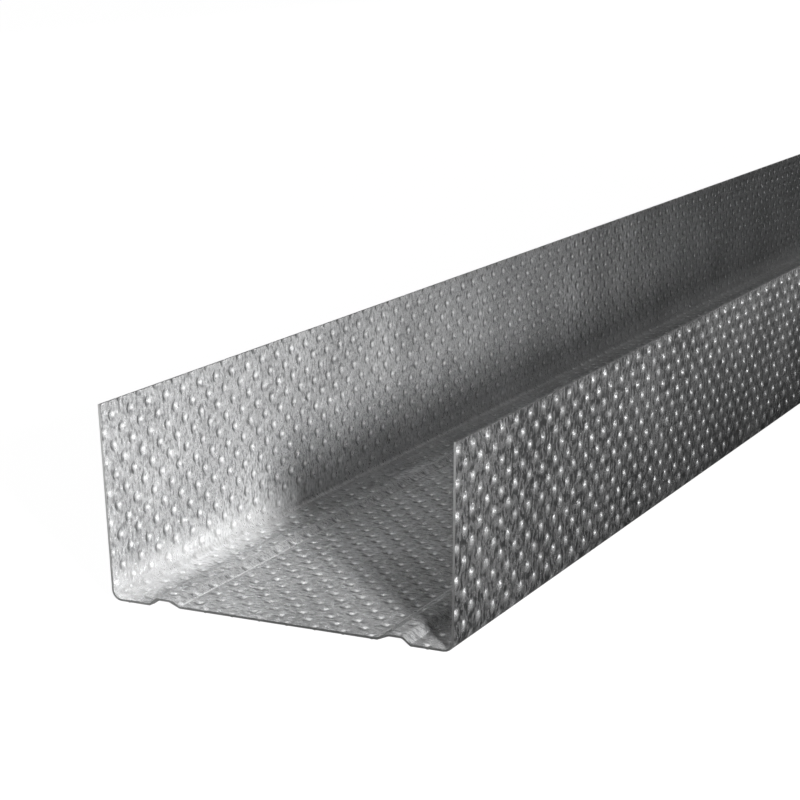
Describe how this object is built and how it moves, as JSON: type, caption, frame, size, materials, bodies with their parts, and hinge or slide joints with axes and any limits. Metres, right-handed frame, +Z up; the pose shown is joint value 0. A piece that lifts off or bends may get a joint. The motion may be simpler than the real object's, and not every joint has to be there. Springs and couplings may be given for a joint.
{
  "type": "drywall track",
  "caption": "Open channel of dimpled galvanised sheet with ribbed web and low flanges, fixed to floor or ceiling to hold wall stud ends.",
  "frame": {"origin": "under the middle of the track, on the surface that its foot strips rest on", "axes": "+Y along the track, +X across the web, +Z up from the web to the open side"},
  "size_m": [0.0782, 3, 0.04],
  "materials": {
    "galvanised_sheet": "zinc-coated, embossed all over with small staggered dimples"
  },
  "bodies": {
    "root": {"track": "galvanised_sheet"}
  },
  "joints": []
}
